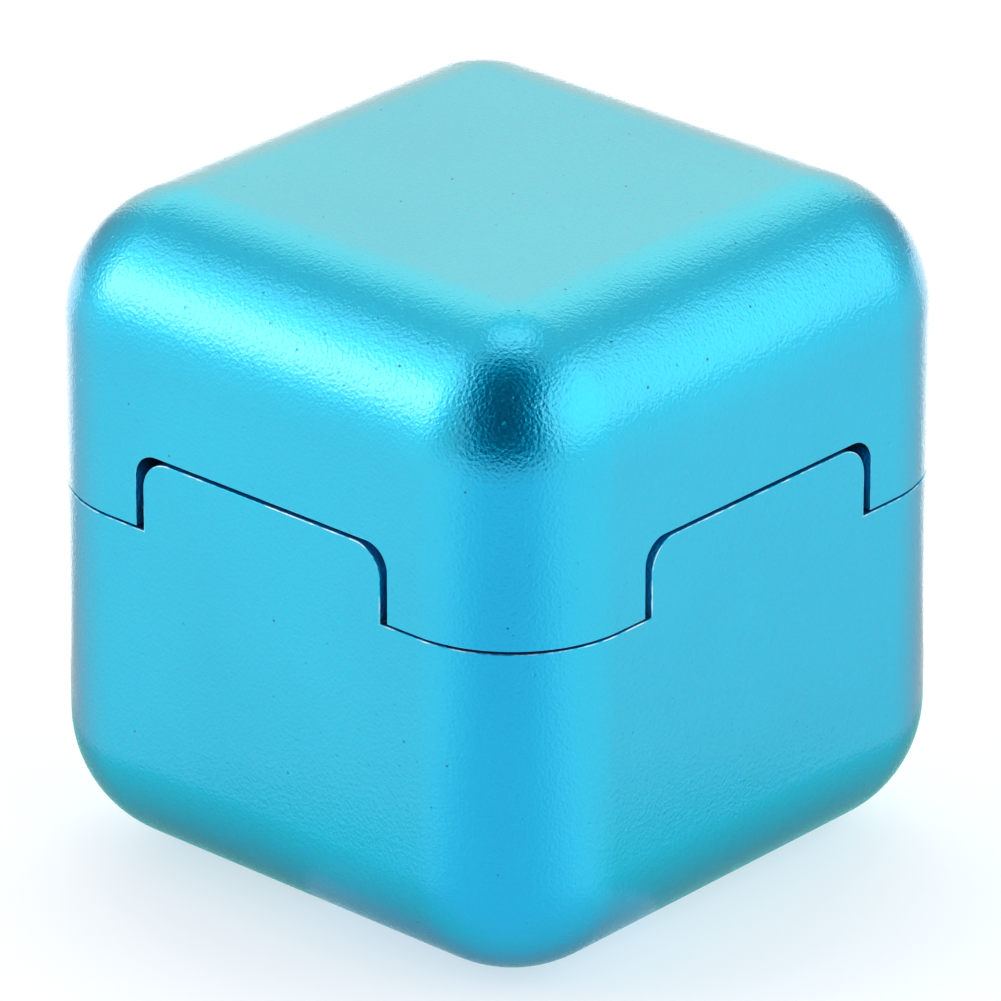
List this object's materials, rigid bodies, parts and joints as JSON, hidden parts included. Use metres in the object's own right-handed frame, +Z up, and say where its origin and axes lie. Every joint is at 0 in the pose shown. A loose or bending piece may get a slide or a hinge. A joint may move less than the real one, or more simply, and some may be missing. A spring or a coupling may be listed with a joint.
{
  "type": "fidget cube",
  "caption": "Metal pull-and-twist fidget cube: two rounded half-shells lock with castellated rims and slide apart on a sprung bearing spindle.",
  "frame": {"origin": "centre of the flat underside, which is the bottom centre of the bounding box", "axes": "+Z up along the spindle, the axis that the upper half lifts and twists on; +X and +Y are normal to two side faces, which are alike"},
  "size_m": [0.033, 0.033, 0.0337],
  "materials": {
    "anodised_shell": "bead-blasted and anodised cyan blue, satin",
    "steel": "ground bright steel",
    "spring_steel": "drawn spring wire",
    "black_steel": "black oxide",
    "aluminium": "turned, uncoated",
    "brass": "plain brass",
    "magnet": "nickel plated",
    "rubber": "matt black"
  },
  "bodies": {
    "base": {"lower_shell": "anodised_shell", "spindle": "steel", "base_screw": "black_steel", "bumper_ring": "rubber", "return_spring": "spring_steel", "seat_washer": "brass", "lower_magnet_1": "magnet", "lower_magnet_2": "magnet", "lower_magnet_3": "magnet", "lower_magnet_4": "magnet"},
    "inner_race": {"bearing_inner_ring": "steel", "thrust_washer": "brass"},
    "upper_half": {"upper_shell": "anodised_shell", "bearing_carrier": "aluminium", "carrier_screw_1": "black_steel", "carrier_screw_2": "black_steel", "carrier_screw_3": "black_steel", "carrier_screw_4": "black_steel", "bearing_outer_ring": "steel", "bearing_shield_lower": "steel", "bearing_shield_upper": "steel", "upper_magnet_1": "magnet", "upper_magnet_2": "magnet", "upper_magnet_3": "magnet", "upper_magnet_4": "magnet"},
    "ball_train": {"bearing_cage": "brass", "bearing_ball_1": "steel", "bearing_ball_2": "steel", "bearing_ball_3": "steel", "bearing_ball_4": "steel", "bearing_ball_5": "steel", "bearing_ball_6": "steel", "bearing_ball_7": "steel", "bearing_ball_8": "steel"}
  },
  "joints": [
    {"name": "lift", "type": "slide", "parent": "base", "child": "inner_race", "axis": [0, 0, 1], "range_m": [0, 0.005], "stiffness_N_per_m": 720, "springref_m": -0.004, "deforming": ["return_spring"]},
    {"name": "twist", "type": "hinge", "parent": "inner_race", "child": "upper_half", "pos_m": [0, 0, 0.0145], "axis": [0, 0, 1], "range_deg": [-1.3, 1.3], "stiffness_Nm_per_rad": 0.4},
    {"name": "ball_orbit", "type": "hinge", "parent": "inner_race", "child": "ball_train", "pos_m": [0, 0, 0.0145], "axis": [0, 0, 1], "range_deg": [-1.3, 1.3]}
  ],
  "couplings": [
    {"joint": "ball_orbit", "follows": "twist", "ratio": 0.5808}
  ]
}
